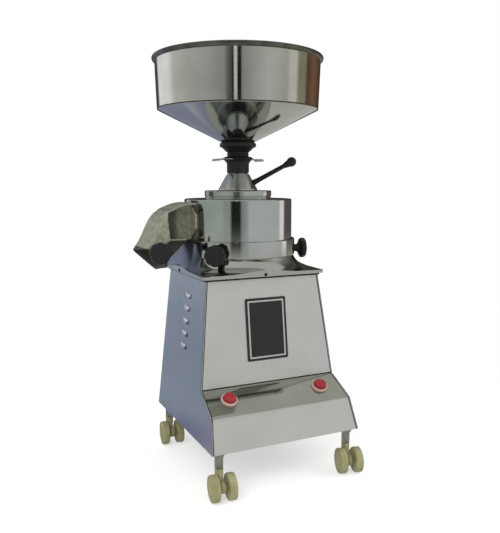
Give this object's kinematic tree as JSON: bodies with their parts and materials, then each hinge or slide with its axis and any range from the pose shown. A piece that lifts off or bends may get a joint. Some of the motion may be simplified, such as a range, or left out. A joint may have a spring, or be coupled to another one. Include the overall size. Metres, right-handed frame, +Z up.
{
  "type": "stone flour mill",
  "caption": "Upright stone flour mill: polished hopper over a round grinding chamber with a side chute, on a tapered sheet-metal cabinet with push buttons and twin-wheel casters.",
  "frame": {"origin": "centre of the overall box on the floor, at z = 0 under the wheels", "axes": "+Z up; -Y is the front with the buttons; -X is the side of the chute"},
  "size_m": [0.3942, 0.4416, 0.8169],
  "materials": {
    "polished_steel": "polished stainless",
    "plated_steel": "zinc plated",
    "satin_sheet": "satin stainless sheet",
    "chute_casting": "rough cast, lightly polished",
    "cast_iron": "as cast",
    "black_plastic": "moulded, satin gloss",
    "red_button": "moulded",
    "button_ring": "moulded",
    "caster_nylon": "moulded",
    "grinding_stone": "dressed, matt",
    "dark_paint": "painted"
  },
  "bodies": {
    "mill": {"back_panel": "satin_sheet", "base_plate": "dark_paint", "cable_gland": "black_plastic", "chamber_base": "polished_steel", "chamber_drum": "polished_steel", "chamber_ring": "polished_steel", "chute": "chute_casting", "control_panel": "satin_sheet", "front_left_stem": "plated_steel", "front_panel": "satin_sheet", "front_right_stem": "plated_steel", "left_bezel": "button_ring", "left_panel": "satin_sheet", "lid_flange": "polished_steel", "motor_adapter": "cast_iron", "motor_housing": "dark_paint", "nameplate": "black_plastic", "rear_left_stem": "plated_steel", "rear_right_stem": "plated_steel", "right_bezel": "button_ring", "right_panel": "satin_sheet", "spindle_bearing": "polished_steel", "switch_block": "black_plastic", "top_frame": "dark_paint"},
    "spindle": {"motor_shaft": "polished_steel", "stone_carrier": "cast_iron", "runner_stone": "grinding_stone", "cooling_fan": "dark_paint"},
    "stone_holder": {"feed_tube": "polished_steel", "upper_stone": "grinding_stone", "gate_collar": "black_plastic", "hopper_socket": "black_plastic"},
    "gate": {"gate_plate": "polished_steel"},
    "hopper": {"hopper_band": "polished_steel", "hopper_cone": "polished_steel"},
    "adjuster": {"adjusting_cone": "polished_steel", "lever_rod": "black_plastic", "lever_ball": "black_plastic"},
    "front_lock_knob": {"front_lock_knob": "black_plastic"},
    "right_lock_knob": {"right_lock_knob": "black_plastic"},
    "rear_lock_knob": {"rear_lock_knob": "black_plastic"},
    "chute_knob": {"chute_knob": "black_plastic"},
    "left_button": {"left_button": "red_button"},
    "right_button": {"right_button": "red_button"},
    "front_left_swivel": {"front_left_hood": "caster_nylon", "front_left_axle": "plated_steel"},
    "front_left_wheel_left": {"front_left_wheel_left": "caster_nylon"},
    "front_left_wheel_right": {"front_left_wheel_right": "caster_nylon"},
    "front_right_swivel": {"front_right_hood": "caster_nylon", "front_right_axle": "plated_steel"},
    "front_right_wheel_left": {"front_right_wheel_left": "caster_nylon"},
    "front_right_wheel_right": {"front_right_wheel_right": "caster_nylon"},
    "rear_left_swivel": {"rear_left_hood": "caster_nylon", "rear_left_axle": "plated_steel"},
    "rear_left_wheel_left": {"rear_left_wheel_left": "caster_nylon"},
    "rear_left_wheel_right": {"rear_left_wheel_right": "caster_nylon"},
    "rear_right_swivel": {"rear_right_hood": "caster_nylon", "rear_right_axle": "plated_steel"},
    "rear_right_wheel_left": {"rear_right_wheel_left": "caster_nylon"},
    "rear_right_wheel_right": {"rear_right_wheel_right": "caster_nylon"}
  },
  "joints": [
    {"name": "spindle_spin", "type": "hinge", "parent": "mill", "child": "spindle", "pos_m": [0.02215, 0.04578, 0.1854], "axis": [0, 0, 1], "continuous": true},
    {"name": "adjuster_turn", "type": "hinge", "parent": "mill", "child": "adjuster", "pos_m": [0.02215, 0.04578, 0.5478], "axis": [0, 0, 1], "range_deg": [-40, 40]},
    {"name": "stone_lift", "type": "slide", "parent": "mill", "child": "stone_holder", "axis": [0, 0, 1], "range_m": [-0.000333, 0.000333]},
    {"name": "gate_slide", "type": "slide", "parent": "stone_holder", "child": "gate", "axis": [1, 0, 0], "range_m": [-0.013, 0.013]},
    {"name": "hopper_lift", "type": "slide", "parent": "stone_holder", "child": "hopper", "axis": [0, 0, 1], "range_m": [0, 0.06]},
    {"name": "front_lock_knob_turn", "type": "hinge", "parent": "mill", "child": "front_lock_knob", "pos_m": [-0.05845, -0.04217, 0.424], "axis": [-0.6756, -0.7373, 0], "range_deg": [0, 720]},
    {"name": "right_lock_knob_turn", "type": "hinge", "parent": "mill", "child": "right_lock_knob", "pos_m": [0.13862, 0.01996, 0.424], "axis": [0.9763, -0.2164, 0], "range_deg": [0, 720]},
    {"name": "rear_lock_knob_turn", "type": "hinge", "parent": "mill", "child": "rear_lock_knob", "pos_m": [-0.01373, 0.15956, 0.424], "axis": [-0.3007, 0.9537, 0], "range_deg": [0, 720]},
    {"name": "chute_knob_turn", "type": "hinge", "parent": "mill", "child": "chute_knob", "pos_m": [-0.17085, -0.00022, 0.43], "axis": [0, -1, 0], "range_deg": [0, 720]},
    {"name": "left_button_press", "type": "slide", "parent": "mill", "child": "left_button", "axis": [0, 0.4819, -0.8762], "range_m": [0, 0.004], "stiffness_N_per_m": 400, "springref_m": -0.003},
    {"name": "right_button_press", "type": "slide", "parent": "mill", "child": "right_button", "axis": [0, 0.4819, -0.8762], "range_m": [0, 0.004], "stiffness_N_per_m": 400, "springref_m": -0.003},
    {"name": "front_left_swivel_turn", "type": "hinge", "parent": "mill", "child": "front_left_swivel", "pos_m": [-0.11385, -0.17022, 0.02437], "axis": [0, 0, 1], "continuous": true},
    {"name": "front_left_wheel_left_spin", "type": "hinge", "parent": "front_left_swivel", "child": "front_left_wheel_left", "pos_m": [-0.11615, -0.1921, 0.02437], "axis": [0.9945, -0.1045, 0], "continuous": true},
    {"name": "front_left_wheel_right_spin", "type": "hinge", "parent": "front_left_swivel", "child": "front_left_wheel_right", "pos_m": [-0.11615, -0.1921, 0.02437], "axis": [0.9945, -0.1045, 0], "continuous": true},
    {"name": "front_right_swivel_turn", "type": "hinge", "parent": "mill", "child": "front_right_swivel", "pos_m": [0.15815, -0.17022, 0.02437], "axis": [0, 0, 1], "continuous": true},
    {"name": "front_right_wheel_left_spin", "type": "hinge", "parent": "front_right_swivel", "child": "front_right_wheel_left", "pos_m": [0.15282, -0.19156, 0.02437], "axis": [0.9703, -0.2419, 0], "continuous": true},
    {"name": "front_right_wheel_right_spin", "type": "hinge", "parent": "front_right_swivel", "child": "front_right_wheel_right", "pos_m": [0.15282, -0.19156, 0.02437], "axis": [0.9703, -0.2419, 0], "continuous": true},
    {"name": "rear_left_swivel_turn", "type": "hinge", "parent": "mill", "child": "rear_left_swivel", "pos_m": [-0.11385, 0.11578, 0.02437], "axis": [0, 0, 1], "continuous": true},
    {"name": "rear_left_wheel_left_spin", "type": "hinge", "parent": "rear_left_swivel", "child": "rear_left_wheel_left", "pos_m": [-0.11577, 0.09387, 0.02437], "axis": [0.9962, -0.0872, 0], "continuous": true},
    {"name": "rear_left_wheel_right_spin", "type": "hinge", "parent": "rear_left_swivel", "child": "rear_left_wheel_right", "pos_m": [-0.11577, 0.09387, 0.02437], "axis": [0.9962, -0.0872, 0], "continuous": true},
    {"name": "rear_right_swivel_turn", "type": "hinge", "parent": "mill", "child": "rear_right_swivel", "pos_m": [0.15815, 0.11578, 0.02437], "axis": [0, 0, 1], "continuous": true},
    {"name": "rear_right_wheel_left_spin", "type": "hinge", "parent": "rear_right_swivel", "child": "rear_right_wheel_left", "pos_m": [0.15968, 0.09384, 0.02437], "axis": [0.9976, 0.0698, 0], "continuous": true},
    {"name": "rear_right_wheel_right_spin", "type": "hinge", "parent": "rear_right_swivel", "child": "rear_right_wheel_right", "pos_m": [0.15968, 0.09384, 0.02437], "axis": [0.9976, 0.0698, 0], "continuous": true}
  ],
  "couplings": [
    {"joint": "adjuster_turn", "follows": "stone_lift", "rad_per_m": 2094.4}
  ]
}
